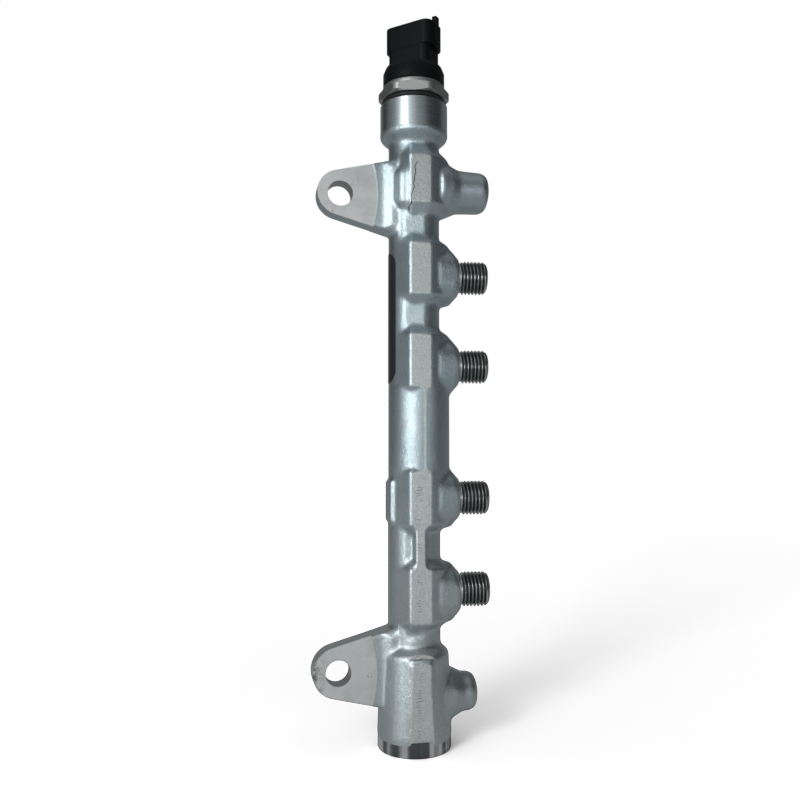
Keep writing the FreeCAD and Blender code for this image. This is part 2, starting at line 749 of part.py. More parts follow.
def trunk_skin():
    """The whole forging but its two lugs, turned and not yet drilled."""
    forged = [
        trunk_tube(),
        thick_run(),
        trim_rib(),
        marking_pad(),
        sensor_collar(),
        forged_bulge(UPPER_BULGE_Z, UPPER_BULGE_HEIGHT, UPPER_LAND_HEIGHT),
    ]
    forged += end_body()
    forged += upper_knobs()
    forged += upper_stub()
    forged += lower_stub()
    forged += [forged_bulge(height, BULGE_HEIGHT, LAND_HEIGHT) for height in BULGE_HEIGHTS]
    forged += along_nipples(nipple_base(), DOME_HEIGHTS)
    forged += along_nipples(nipple(), NIPPLE_HEIGHTS)
    return forged[0].multiFuse(forged[1:]).removeSplitter()


def rail_body(trunk):
    """The trunk with its main bore, its sensor port and the four line drillings."""
    cuts = [main_bore()] + along_nipples(line_drilling(), NIPPLE_HEIGHTS)
    return trunk.cut(cuts).removeSplitter()


def hexagon():
    """The spanner hexagon, with its corners turned off top and bottom."""
    corner = HEX_ACROSS_FLATS / 2 / math.cos(math.radians(30))
    points = [polar(0, corner, 60 * index) for index in range(7)]
    prism = Part.Face(Part.makePolygon(points)).extrude(V(0, 0, HEX_HEIGHT))
    chamfer_drop = math.tan(math.radians(HEX_CHAMFER_ANGLE))
    flat_r = HEX_ACROSS_FLATS / 2
    drop = (HEX_CORNER_R - flat_r) * chamfer_drop
    turning = turned_on_z([
        (0, 0),
        (flat_r, 0),
        (HEX_CORNER_R, drop),
        (HEX_CORNER_R, HEX_HEIGHT - drop),
        (flat_r, HEX_HEIGHT),
        (0, HEX_HEIGHT),
    ])
    return raised(turned_about_rail(prism.common(turning), HEX_TURN), HEX_BOTTOM)


def sensor_body():
    """The steel body of the sensor: bite edge, threaded stem, hexagon and crimped rim."""
    stem_r = PORT_THREAD_R - SENSOR_STEM_CLEARANCE
    nose_top = PORT_FLOOR + SENSOR_NOSE_LENGTH
    shoulder = RAIL_HEIGHT + SENSOR_SHOULDER_GAP
    stem = turned_on_z([
        (0, PORT_FLOOR),
        (SENSOR_NOSE_R, PORT_FLOOR),
        (stem_r, nose_top),
        (stem_r, shoulder),
        (SENSOR_SHOULDER_R, shoulder),
        (SENSOR_SHOULDER_R, HEX_BOTTOM),
        (RIM_R, HEX_BOTTOM),
        (RIM_R, RIM_TOP, RIM_LIP_THICKNESS),
        (0, RIM_TOP),
    ])
    lip_r = RIM_BORE_R - RIM_LIP_WIDTH
    inside = turned_on_z([
        (0, PORT_FLOOR - OVERRUN),
        (SENSOR_CHANNEL_R, PORT_FLOOR - OVERRUN),
        (SENSOR_CHANNEL_R, ROOM_FLOOR),
        (ROOM_R, ROOM_FLOOR),
        (ROOM_R, LEDGE_Z),
        (RIM_BORE_R, LEDGE_Z),
        (RIM_BORE_R, FLANGE_TOP),
        (lip_r, FLANGE_TOP),
        (lip_r, RIM_TOP + OVERRUN),
        (0, RIM_TOP + OVERRUN),
    ])
    return stem.fuse(hexagon()).cut(inside).removeSplitter()


def dust_seal():
    """The rubber ring between the hexagon and the collar."""
    return turned_on_z([
        (SENSOR_SHOULDER_R, RAIL_HEIGHT),
        (DUST_SEAL_R, RAIL_HEIGHT, DUST_SEAL_ROUND),
        (DUST_SEAL_R, HEX_BOTTOM, DUST_SEAL_ROUND),
        (SENSOR_SHOULDER_R, HEX_BOTTOM),
    ])


def pressure_cell():
    """The welded steel hat whose thin crown the fuel pressure bends."""
    hat = rod(CELL_R, ROOM_FLOOR, ROOM_FLOOR + CELL_HEIGHT)
    bore = rod(CELL_BORE_R, ROOM_FLOOR, ROOM_FLOOR + CELL_HEIGHT - CELL_DIAPHRAGM)
    return hat.cut(bore)


def circuit_board():
    """The round board that reads the cell, lying on the ledge in the body."""
    return rod(BOARD_R, LEDGE_Z, LEDGE_Z + BOARD_THICKNESS)


def housing_seal():
    """The square ring that seals between the plastic flange, the ledge and the rim's bore."""
    return ring(FLANGE_R - SEAL_SECTION, FLANGE_R, LEDGE_Z, LEDGE_Z + SEAL_SECTION)


def pin_blades(bottom, top):
    blades = []
    for index in (-1, 0, 1):
        blade = centred_block(PIN_WIDTH, PIN_THICKNESS, bottom, top)
        blade.translate(V(index * PIN_PITCH, 0, 0))
        blades.append(turned_about_rail(blade, HOUSING_TURN))
    return blades


def contact_pins():
    """Three flat contact blades, from the board up into the socket."""
    return Part.makeCompound(
        pin_blades(LEDGE_Z + BOARD_THICKNESS, HEADER_TOP - PIN_TIP_DEPTH)
    )


def housing_base():
    """The round part of the plug housing: flange under the crimped lip, and domed base above."""
    lip_r = RIM_BORE_R - RIM_LIP_WIDTH - FLANGE_CLEARANCE
    flange_bottom = LEDGE_Z + SEAL_SECTION + SEAL_CORNER_CLEARANCE
    return turned_on_z([
        (0, flange_bottom),
        (FLANGE_R, flange_bottom),
        (FLANGE_R, FLANGE_TOP),
        (lip_r, FLANGE_TOP),
        (lip_r, RIM_TOP),
        (HOUSING_BASE_R, RIM_TOP, HOUSING_BASE_EDGE),
        (HOUSING_BASE_R, BASE_TOP, HOUSING_BASE_ROUND),
        (0, BASE_TOP),
    ])


def latch_rib():
    """The rib on the narrow side that the plug's latch snaps over."""
    low = HEADER_Z + LATCH_RIB_START
    rib = Part.makeBox(
        LATCH_RIB_REACH + SOCKET_WALL,
        LATCH_RIB_WIDTH,
        HEADER_TOP + LATCH_RIB_RISE - low,
        V(HEADER_WIDTH / 2 - SOCKET_WALL, -LATCH_RIB_WIDTH / 2, low),
    )
    outer_x = HEADER_WIDTH / 2 + LATCH_RIB_REACH
    outer_edges = [
        edge for edge in rib.Edges
        if all(abs(vertex.X - outer_x) < 1e-6 for vertex in edge.Vertexes)
    ]
    return rib.makeChamfer(LATCH_RIB_EDGE, outer_edges)


def key_ribs():
    """Two low guide ribs on the back wide face of the header."""
    ribs = []
    for side in (-1, 1):
        rib = centred_block(
            KEY_RIB_WIDTH, HEADER_DEPTH + 2 * KEY_RIB_REACH, HEADER_Z, HEADER_TOP - KEY_RIB_INSET
        )
        rib.translate(V(side * HEADER_WIDTH / 4, 0, 0))
        front_half = Part.makeBox(
            HEADER_WIDTH, HEADER_DEPTH, HEADER_HEIGHT, V(-HEADER_WIDTH / 2, -HEADER_DEPTH, HEADER_Z)
        )
        ribs.append(rib.cut(front_half))
    return ribs


def connector_housing():
    """The moulded plug housing, with a keyed socket round the three blades."""
    neck = rounded_block(NECK_WIDTH, NECK_DEPTH, NECK_CORNER_R, BASE_TOP - OVERRUN, HEADER_Z)
    header = rounded_block(HEADER_WIDTH, HEADER_DEPTH, HEADER_CORNER_R, HEADER_Z, HEADER_TOP)
    upper = neck.multiFuse([header, latch_rib()] + key_ribs())
    socket = rounded_block(
        HEADER_WIDTH - 2 * SOCKET_WALL,
        HEADER_DEPTH - 2 * SOCKET_WALL,
        HEADER_CORNER_R - SOCKET_WALL,
        HEADER_TOP - SOCKET_DEPTH,
        HEADER_TOP + LATCH_RIB_RISE + OVERRUN,
    )
    upper = turned_about_rail(upper.cut(socket), HOUSING_TURN)
    blades = pin_blades(LEDGE_Z, HEADER_TOP)
    return housing_base().fuse(upper).cut(blades).removeSplitter()


def label_foil():
    """The foil label on the lug side of the trunk. It is left blank."""
    half_width = LABEL_WIDTH / 2
    half_length = LABEL_LENGTH / 2
    corners = [
        (-half_width, -half_length, LABEL_END_R),
        (half_width, -half_length, LABEL_END_R),
        (half_width, half_length, LABEL_END_R),
        (-half_width, half_length, LABEL_END_R),
    ]
    patch = Part.Face(outline(corners, flat_yz)).extrude(V(-2 * TUBE_R, 0, 0))
    low = -half_length - OVERRUN
    skin = rod(TUBE_R + LABEL_THICKNESS, low, -low).cut(rod(TUBE_R, low, -low))
    return raised(skin.common(patch), LABEL_Z)


def all_pieces():
    trunk = trunk_skin()
    return {
        "rail_body": rail_body(trunk),
        "lower_lug": mounting_lug(LOWER_LUG_Z, 1, LOWER_LUG_TIP_R, LOWER_LUG_EYE_RISE, trunk),
        "upper_lug": mounting_lug(UPPER_LUG_Z, -1, UPPER_LUG_TIP_R, UPPER_LUG_EYE_RISE, trunk),
        "label_foil": label_foil(),
        "sensor_body": sensor_body(),
        "dust_seal": dust_seal(),
        "pressure_cell": pressure_cell(),
        "circuit_board": circuit_board(),
        "housing_seal": housing_seal(),
        "contact_pins": contact_pins(),
        "connector_housing": connector_housing(),
    }


def main():
    os.makedirs("parts", exist_ok=True)
    for name, shape in all_pieces().items():
        shape.exportStep("parts/" + name + ".step")
        print(name, len(shape.Solids), "solid", round(shape.Volume, 1), "mm3", shape.isValid())


main()
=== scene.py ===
"""Looks of the forged diesel fuel rail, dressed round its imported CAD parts.

Blender's lengths are metres. Sizes here are named in millimetres and turned into metres by MM.
The rail stands on its closed end at the origin, with its lugs on -X and its line nipples on +X.
"""

import math

import bmesh
import bpy
import numpy as np
from mathutils import Matrix, Vector


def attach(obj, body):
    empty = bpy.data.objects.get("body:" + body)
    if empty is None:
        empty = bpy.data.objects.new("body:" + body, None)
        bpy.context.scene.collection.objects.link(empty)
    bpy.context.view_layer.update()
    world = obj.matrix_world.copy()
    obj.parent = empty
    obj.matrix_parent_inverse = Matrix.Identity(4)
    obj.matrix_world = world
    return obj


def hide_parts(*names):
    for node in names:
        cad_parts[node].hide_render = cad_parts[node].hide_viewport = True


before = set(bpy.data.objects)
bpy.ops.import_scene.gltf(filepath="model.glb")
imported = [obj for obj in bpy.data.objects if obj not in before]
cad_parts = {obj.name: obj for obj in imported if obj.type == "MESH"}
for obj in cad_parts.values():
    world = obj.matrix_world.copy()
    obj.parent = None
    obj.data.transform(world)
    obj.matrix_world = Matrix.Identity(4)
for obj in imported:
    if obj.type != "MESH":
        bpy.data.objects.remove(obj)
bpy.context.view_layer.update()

MM = 0.001

# Camera, solved from the photo
CAMERA_TURN = math.radians(-11.8)
CAMERA_DISTANCE = 345 * MM
CAMERA_SIDE = -5.85 * MM
CAMERA_HEIGHT = 122.2 * MM
CAMERA_PITCH = math.radians(3.26)
CAMERA_LENS = 37.125

# The dim room, and its soft patches of light: azimuth from the front, elevation and half width
# in degrees, and level
ROOM_LEVEL = 0.04
ROOM_GLOWS = (
    (-38, 2, 48, 0.85),
    (12, -10, 34, 1.35),
    (-85, 5, 42, 0.2),
    (120, 0, 42, 0.16),
    (178, 10, 45, 0.25),
    (-30, 80, 60, 0.35),
    (0, -60, 60, 0.3),
)

# Forging
FORGED_NODES = ("rail_body", "lower_lug", "upper_lug")
VOXEL = 0.5 * MM
SOFTEN_ROUNDS = 6
FILL_ROUNDS = 8
LAND_REACH = 12.75 * MM
END_LAND_REACH = 14.15 * MM
END_LAND_TOP = 38 * MM
LAND_HALF_WIDTH = 6 * MM
LAND_DEPTH_TOLERANCE = 0.04 * MM
COLLAR_FLARE_HEIGHT = 10 * MM
BORE_CLEAR_R = 9.3 * MM
BORE_FLOOR = 10 * MM
DRILLING_CLEAR_R = 4.4 * MM
DRILLING_START = 4 * MM

# Marks on the forging
CRACK_X = -4.3 * MM
CRACK_LOW = 220 * MM
CRACK_HIGH = 238 * MM
CRACK_SLOPE = 0.14
CRACK_RAGGEDNESS = 0.5 * MM
CRACK_HALF_WIDTH = 0.1 * MM
CHATTER_PITCH = 1.15 * MM
CHATTER_TOP = 112 * MM

# Line nipples
NIPPLE_TURN = math.radians(-6)
NIPPLE_HEIGHTS = (63.3 * MM, 101.1 * MM, 155.9 * MM, 193.7 * MM)
NIPPLE_R = 6.98 * MM
NIPPLE_CLEAR_R = 7.1 * MM
NIPPLE_RELIEF_DEPTH = 0.95 * MM
NIPPLE_RELIEF_LENGTH = 0.6 * MM
NIPPLE_SUNK_LENGTH = 1.2 * MM
NIPPLE_TIP_ROUND = 2.6 * MM
NIPPLE_TIP_SLOPE = 0.9
NIPPLE_BASE_END = 18.7 * MM
NIPPLE_TIP = 30.8 * MM
SEAT_RIM_R = 4.75 * MM
SEAT_R = 4.25 * MM
SEAT_EDGE = 0.1 * MM
SEAT_EDGE_DEPTH = 0.06 * MM
SEAT_DEPTH = 4.8 * MM
THROTTLE_R = 1.5 * MM
THROTTLE_DEPTH = 18 * MM
THREAD_PITCH = 1.5 * MM
THREAD_DEPTH = 0.9 * MM
THREAD_COLUMNS = 80
THREAD_ROW = 0.125 * MM

# Lugs
LUG_REACH = 31.9 * MM
LUG_HEIGHTS = (32 * MM, 226.7 * MM)
LUG_HALF_THICKNESS = 4 * MM
LUG_FORGED_HALF_THICKNESS = 5.3 * MM
LUG_HOLE_R = 5.25 * MM
LUG_HOLE_EDGE_R = 5.7 * MM
MILLING_DEPTH = 6 * MM
DRILL_LENGTH = 20 * MM
LUG_TIP_X = -42.1 * MM
DIRT_LOW = 60 * MM
DIRT_HIGH = 70 * MM
DIRT_WIDTH = 5.5 * MM
MILLED_FACE_START = 16.3 * MM
MILLING_CUTTER_R = 46 * MM

# Turned ends
COLLAR_R = 14.25 * MM
COLLAR_BOTTOM = 253.6 * MM
COLLAR_TOP = 266.8 * MM
COLLAR_EDGE = 0.25 * MM
COLLAR_RIM_CHAMFER = 0.5 * MM
PORT_R = 8.4 * MM
BAND_R = 14.9 * MM
BAND_TOP = 6.2 * MM
BAND_EDGE = 0.2 * MM
BAND_ROUND = 0.9 * MM
BAND_ROUND_MIDDLE_IN = 0.25 * MM
BAND_ROUND_MIDDLE_UP = 0.35 * MM


def add_node(tree, kind, values=None, **settings):
    made = tree.nodes.new(kind)
    for name, value in settings.items():
        setattr(made, name, value)
    for name, value in (values or {}).items():
        made.inputs[name].default_value = value
    return made


def new_material(name):
    """A material with its node tree, its Principled shader and its object coordinates."""
    material = bpy.data.materials.new(name)
    material.use_nodes = True
    tree = material.node_tree
    shader = tree.nodes["Principled BSDF"]
    place = add_node(tree, "ShaderNodeTexCoord")
    return material, tree, shader, place.outputs["Object"]


def noise(tree, place, scale, detail=3.0, roughness=0.55):
    made = add_node(
        tree, "ShaderNodeTexNoise", {"Scale": scale, "Detail": detail, "Roughness": roughness}
    )
    tree.links.new(place, made.inputs["Vector"])
    return made.outputs["Fac"]


def stretched(tree, place, factors):
    made = add_node(tree, "ShaderNodeVectorMath", operation="MULTIPLY")
    made.inputs[1].default_value = factors
    tree.links.new(place, made.inputs[0])
    return made.outputs["Vector"]


def remap(tree, value, low, high, to_low, to_high):
    made = add_node(
        tree,
        "ShaderNodeMapRange",
        {"From Min": low, "From Max": high, "To Min": to_low, "To Max": to_high},
        interpolation_type="SMOOTHSTEP",
    )
    tree.links.new(value, made.inputs["Value"])
    return made.outputs["Result"]


def arithmetic(tree, operation, first, second):
    made = add_node(tree, "ShaderNodeMath", operation=operation)
    for index, value in enumerate((first, second)):
        if isinstance(value, (int, float)):
            made.inputs[index].default_value = value
        else:
            tree.links.new(value, made.inputs[index])
    return made.outputs["Value"]


def mixed(tree, share, first, second):
    """A colour between two colours or colour outputs."""
    made = add_node(tree, "ShaderNodeMix", data_type="RGBA")
    tree.links.new(share, made.inputs["Factor"])
    for name, value in (("A", first), ("B", second)):
        socket = next(s for s in made.inputs if s.name == name and s.type == "RGBA")
        if isinstance(value, tuple):
            socket.default_value = (*value, 1)
        else:
            tree.links.new(value, socket)
    return next(s for s in made.outputs if s.type == "RGBA")


def bump(tree, height, distance, strength=1.0, before=None):
    made = add_node(tree, "ShaderNodeBump", {"Distance": distance, "Strength": strength})
    tree.links.new(height, made.inputs["Height"])
    if before is not None:
        tree.links.new(before, made.inputs["Normal"])
    return made.outputs["Normal"]


def along_axes(tree, place):
    """The X, Y and Z of a place, in metres."""
    made = add_node(tree, "ShaderNodeSeparateXYZ")
    tree.links.new(place, made.inputs["Vector"])
    return made.outputs["X"], made.outputs["Y"], made.outputs["Z"]


def within(tree, value, low, high, soft):
    """1 where a value lies between low and high, fading to 0 over the soft width outside."""
    middle = (low + high) / 2
    half = (high - low) / 2
    offset = arithmetic(tree, "ABSOLUTE", arithmetic(tree, "SUBTRACT", value, middle), 0)
    return remap(tree, offset, half, half + soft, 1, 0)


def product(tree, *shares):
    """The product of several shares."""
    whole = shares[0]
    for share in shares[1:]:
        whole = arithmetic(tree, "MULTIPLY", whole, share)
    return whole


def attribute(tree, name):
    return add_node(tree, "ShaderNodeAttribute", attribute_name=name).outputs["Fac"]


def parting_crack(tree, place):
    """Share of the dark, ragged line that the flash left along the upper land, front only."""
    x, y, z = along_axes(tree, place)
    ragged = remap(tree, noise(tree, stretched(tree, place, (0, 0, 1)), 260, 3), 0.3, 0.7, -1, 1)
    line = arithmetic(tree, "MULTIPLY", z, CRACK_SLOPE)
    line = arithmetic(tree, "ADD", line, CRACK_X - CRACK_LOW * CRACK_SLOPE)
    line = arithmetic(tree, "ADD", line, arithmetic(tree, "MULTIPLY", ragged, CRACK_RAGGEDNESS))
    offset = arithmetic(tree, "SUBTRACT", x, line)
    return product(
        tree,
        within(tree, offset, -CRACK_HALF_WIDTH, CRACK_HALF_WIDTH, 0.16 * MM),
        within(tree, z, CRACK_LOW, CRACK_HIGH, 2 * MM),
        remap(tree, y, -9 * MM, -8 * MM, 1, 0),
    )


def trimming_chatter(tree, place):
    """Share of the short tears across the trimmed lands of the rail's lower part."""
    x, y, z = along_axes(tree, place)
    wander = remap(tree, noise(tree, place, 160, 2), 0.3, 0.7, -1, 1)
    phase = arithmetic(tree, "MULTIPLY", z, math.tau / CHATTER_PITCH)
    phase = arithmetic(tree, "ADD", phase, arithmetic(tree, "MULTIPLY", wander, 2.2))
    tears = remap(tree, arithmetic(tree, "SINE", phase, 0), 0.55, 0.95, 0, 1)
    column = arithmetic(tree, "ADD", x, arithmetic(tree, "MULTIPLY", wander, 0.7 * MM))
    return product(
        tree,
        tears,
        within(tree, column, -1.6 * MM, 0.1 * MM, 0.7 * MM),
        remap(tree, noise(tree, place, 420, 2), 0.46, 0.62, 0, 0.75),
        remap(tree, z, CHATTER_TOP - 6 * MM, CHATTER_TOP, 1, 0),
        attribute(tree, "trimmed"),
    )


def forged_zinc():
    """Zinc plate over a blasted forging: bluish above, greyer below, satin and finely grained."""
    material, tree, shader, place = new_material("forged_zinc")
    height = along_axes(tree, place)[2]
    colour = mixed(
        tree, remap(tree, height, 30 * MM, 140 * MM, 0, 1), (0.50, 0.57, 0.58), (0.45, 0.555, 0.605)
    )
    patches = remap(tree, noise(tree, place, 70, 4), 0.35, 0.65, 0, 0.35)
    colour = mixed(tree, patches, colour, (0.62, 0.70, 0.72))
    trimmed = attribute(tree, "trimmed")
    torn = noise(tree, stretched(tree, place, (1, 1, 2.2)), 700, 4, 0.7)
    colour = mixed(tree, arithmetic(tree, "MULTIPLY", trimmed, 0.7), colour, (0.82, 0.86, 0.85))
    grain = noise(tree, place, 1300, 4, 0.75)
    mottle = remap(tree, grain, 0.36, 0.64, 0, 1)
    colour = mixed(tree, arithmetic(tree, "MULTIPLY", mottle, 0.3), colour, (0.30, 0.36, 0.38))
    colour = mixed(tree, trimming_chatter(tree, place), colour, (0.16, 0.17, 0.16))
    crack = parting_crack(tree, place)
    colour = mixed(tree, crack, colour, (0.03, 0.035, 0.035))
    tree.links.new(colour, shader.inputs["Base Color"])
    tree.links.new(remap(tree, grain, 0.3, 0.7, 0.26, 0.4), shader.inputs["Roughness"])
    shader.inputs["Metallic"].default_value = 0.95
    coarse = bump(tree, noise(tree, place, 330, 3), 0.12 * MM, 0.7)
    fine = bump(tree, grain, 0.16 * MM, 1.0, coarse)
    tears = bump(tree, arithmetic(tree, "MULTIPLY", torn, trimmed), 0.1 * MM, 0.8, fine)
    tree.links.new(tears, shader.inputs["Normal"])
    return material


def milled_steel():
    """A lug's milled face: pale, with faint lines and stains, and dirt on the lower lug's tip."""
    material, tree, shader, place = new_material("milled_steel")
    stains = remap(tree, noise(tree, place, 120, 5, 0.65), 0.42, 0.68, 0, 1)
    colour = mixed(tree, stains, (0.74, 0.77, 0.77), (0.64, 0.665, 0.66))
    dots = remap(tree, noise(tree, place, 420, 2), 0.70, 0.76, 0, 0.8)
    colour = mixed(tree, dots, colour, (0.16, 0.14, 0.12))
    x, _, z = along_axes(tree, place)
    dirt = product(
        tree,
        remap(tree, x, LUG_TIP_X, LUG_TIP_X + DIRT_WIDTH, 1, 0),
        remap(tree, noise(tree, place, 520, 4, 0.7), 0.46, 0.58, 0, 0.85),
        remap(tree, z, DIRT_LOW, DIRT_HIGH, 1, 0),
    )
    colour = mixed(tree, dirt, colour, (0.10, 0.085, 0.07))
    tree.links.new(colour, shader.inputs["Base Color"])
    shader.inputs["Metallic"].default_value = 0.85
    shader.inputs["Roughness"].default_value = 0.42
    lines = noise(tree, stretched(tree, place, (6, 1, 1)), 700, 2)
    tree.links.new(bump(tree, lines, 0.02 * MM, 0.5), shader.inputs["Normal"])
    return material


def turned_steel(name, colour, roughness, painted_reflection_share):
    """A lathe-turned surface: fine rings round Z, and dark bands along Z painted in by the given share
    as painted reflections of the room.
    """
    material, tree, shader, place = new_material(name)
    rings = noise(tree, stretched(tree, place, (0.02, 0.02, 1)), 4200, 2)
    # Painted reflection: dark bands along Z stand in for the room's reflections, by the given share.
    painted_reflection_bands = remap(tree, noise(tree, stretched(tree, place, (1, 1, 0.03)), 170, 2), 0.42, 0.6, painted_reflection_share, 0)
    colour = mixed(tree, rings, colour, tuple(0.9 * share for share in colour))
    colour = mixed(tree, painted_reflection_bands, colour, (0.07, 0.08, 0.085))
    tree.links.new(colour, shader.inputs["Base Color"])
    shader.inputs["Metallic"].default_value = 1.0
    tree.links.new(remap(tree, rings, 0.3, 0.7, roughness, roughness + 0.06), shader.inputs["Roughness"])
    tree.links.new(bump(tree, rings, 0.006 * MM, 0.4), shader.inputs["Normal"])
    return material


def threaded_steel():
    """Oiled steel with painted shade: crests in the steel's colour, thread roots painted dark. The
    roots' share is stored on the mesh.
    """
    material, tree, shader, place = new_material("threaded_steel")
    root = attribute(tree, "thread_root_shade")
    # Painted shade: the thread roots darkened by their share of depth.
    colour = mixed(tree, root, (0.62, 0.64, 0.64), (0.03, 0.035, 0.035))
    grime = remap(tree, noise(tree, place, 300, 4), 0.4, 0.7, 0, 0.4)
    colour = mixed(tree, grime, colour, (0.16, 0.18, 0.18))
    tree.links.new(colour, shader.inputs["Base Color"])
    shader.inputs["Metallic"].default_value = 1.0
    shader.inputs["Roughness"].default_value = 0.3
    return material


def black_rubber():
    material, tree, shader, place = new_material("black_rubber")
    tone = noise(tree, place, 400, 2)
    colour = mixed(tree, tone, (0.006, 0.006, 0.007), (0.014, 0.014, 0.015))
    tree.links.new(colour, shader.inputs["Base Color"])
    shader.inputs["Roughness"].default_value = 0.5
    return material


def black_nylon():
    """Glass-filled nylon: satin black with a fine moulded grain."""
    material, tree, shader, place = new_material("black_nylon")
    tone = noise(tree, place, 150, 3)
    colour = mixed(tree, tone, (0.002, 0.004, 0.0045), (0.005, 0.007, 0.0075))
    tree.links.new(colour, shader.inputs["Base Color"])
    grain = noise(tree, place, 2600, 2)
    tree.links.new(remap(tree, grain, 0.3, 0.7, 0.36, 0.46), shader.inputs["Roughness"])
    shader.inputs["Specular IOR Level"].default_value = 0.14
    tree.links.new(bump(tree, grain, 0.015 * MM, 0.5), shader.inputs["Normal"])
    return material


def label_foil():
    material, tree, shader, place = new_material("label_foil")
    tone = noise(tree, place, 200, 3)
    colour = mixed(tree, tone, (0.012, 0.014, 0.015), (0.024, 0.026, 0.028))
    tree.links.new(colour, shader.inputs["Base Color"])
    shader.inputs["Roughness"].default_value = 0.38
    return material


def simple_material(name, first, second, metallic, roughness, scale=300.0):
    """For small inner pieces: two close tones mixed by noise."""
    material, tree, shader, place = new_material(name)
    tree.links.new(
        mixed(tree, noise(tree, place, scale), first, second), shader.inputs["Base Color"]
    )
    shader.inputs["Metallic"].default_value = metallic
    shader.inputs["Roughness"].default_value = roughness
    return material


def show(name, bm, materials, sharp_degrees=35.0):
    """Puts a bmesh into the scene as a shaded piece that rides on the rail."""
    bmesh.ops.recalc_face_normals(bm, faces=bm.faces)
    mesh = bpy.data.meshes.new(name)
    bm.to_mesh(mesh)
    bm.free()
    return show_mesh(name, mesh, materials, sharp_degrees)


def show_mesh(name, mesh, materials, sharp_degrees=35.0):
    mesh.materials.clear()
    for material in materials:
        mesh.materials.append(material)
    mesh.shade_smooth()
    mesh.set_sharp_from_angle(angle=math.radians(sharp_degrees))
    piece = bpy.data.objects.new(name, mesh)
    bpy.context.scene.collection.objects.link(piece)
    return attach(piece, "root")


def lathe(corners, steps=128):
    """A bmesh turned round the Z axis from corners (radius, z) in metres."""
    bm = bmesh.new()
    verts = [bm.verts.new((radius, 0, z)) for radius, z in corners]
    edges = [bm.edges.new(pair) for pair in zip(verts, verts[1:])]
    bmesh.ops.spin(
        bm, geom=verts + edges, cent=(0, 0, 0), axis=(0, 0, 1), angle=math.tau, steps=steps,
        use_merge=True, use_duplicate=False,
    )
    bmesh.ops.remove_doubles(bm, verts=bm.verts, dist=1e-7)
    return bm


def node_copy(name):
    """A bmesh of a CAD node's own mesh, with its loose triangles joined."""
    bm = bmesh.new()
    bm.from_mesh(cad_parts[name].data)
    bmesh.ops.remove_doubles(bm, verts=bm.verts, dist=1e-6)
    return bm


def along_nipple(point):
    """How far a point lies along the nipples' direction, and its distance across, flat."""
    along = point.x * math.cos(NIPPLE_TURN) + point.y * math.sin(NIPPLE_TURN)
    across = point.y * math.cos(NIPPLE_TURN) - point.x * math.sin(NIPPLE_TURN)
    return along, across


def is_inside_bore(point):
    if point.z > BORE_FLOOR and math.hypot(point.x, point.y) < BORE_CLEAR_R:
        return True
    along, across = along_nipple(point)
    nearest = min(abs(point.z - height) for height in NIPPLE_HEIGHTS)
    return along > DRILLING_START and math.hypot(across, nearest) < DRILLING_CLEAR_R


def is_on_nipple(point):
    along, across = along_nipple(point)
    nearest = min(abs(point.z - height) for height in NIPPLE_HEIGHTS)
    return along > NIPPLE_BASE_END + 0.05 * MM and math.hypot(across, nearest) < NIPPLE_CLEAR_R


def is_in_bolt_hole(point):
    nearest = min(abs(point.z - height) for height in LUG_HEIGHTS)
    return math.hypot(point.x + LUG_REACH, nearest) < LUG_HOLE_EDGE_R


def is_milled(face):
    centre = face.calc_center_median()
    flat = abs(face.normal.y) > 0.99 and abs(abs(centre.y) - LUG_HALF_THICKNESS) < 0.1 * MM
    return flat and centre.x < -MILLED_FACE_START + 5 * MM


def closed_forging(name):
    """A forged node's closed outer skin: no bores, no nipples, milled faces at forged thickness."""
    bm = node_copy(name)
    gone = []
    for face in bm.faces:
        centre = face.calc_center_median()
        if is_inside_bore(centre) or is_on_nipple(centre) or is_in_bolt_hole(centre):
            gone.append(face)
    bmesh.ops.delete(bm, geom=gone, context="FACES")
    bmesh.ops.holes_fill(bm, edges=bm.edges, sides=0)
    bmesh.ops.triangulate(bm, faces=[face for face in bm.faces if len(face.verts) > 3])
    bmesh.ops.recalc_face_normals(bm, faces=bm.faces)
    growth = LUG_FORGED_HALF_THICKNESS - LUG_HALF_THICKNESS
    for side in (-1, 1):
        milled = [face for face in bm.faces if is_milled(face) and face.normal.y * side > 0]
        grown = bmesh.ops.extrude_face_region(bm, geom=milled)
        moved = [part for part in grown["geom"] if isinstance(part, bmesh.types.BMVert)]
        bmesh.ops.translate(bm, verts=moved, vec=(0, side * growth, 0))
        bmesh.ops.delete(bm, geom=milled, context="FACES_ONLY")
    bmesh.ops.recalc_face_normals(bm, faces=bm.faces)
    mesh = bpy.data.meshes.new("forged_skin")
    bm.to_mesh(mesh)
    bm.free()
    return mesh


def forging_before_machining():
    """The forging as it leaves the dies, as one mesh of closed skins that touch."""
    whole = bmesh.new()
    for name in FORGED_NODES:
        skin = closed_forging(name)
        whole.from_mesh(skin)
        bpy.data.meshes.remove(skin)
    return whole


def remeshed(bm, voxel):
    """The same shape as an even quad mesh."""
    mesh = bpy.data.meshes.new("remesh_source")
    bm.to_mesh(mesh)
    bm.free()
    source = bpy.data.objects.new("remesh_source", mesh)
    bpy.context.scene.collection.objects.link(source)
    modifier = source.modifiers.new("remesh", "REMESH")
    modifier.mode = "VOXEL"
    modifier.voxel_size = voxel
    modifier.adaptivity = 0
    made = bpy.data.meshes.new_from_object(
        source.evaluated_get(bpy.context.evaluated_depsgraph_get())
    )
    bpy.data.objects.remove(source)
    bpy.data.meshes.remove(mesh)
    return made


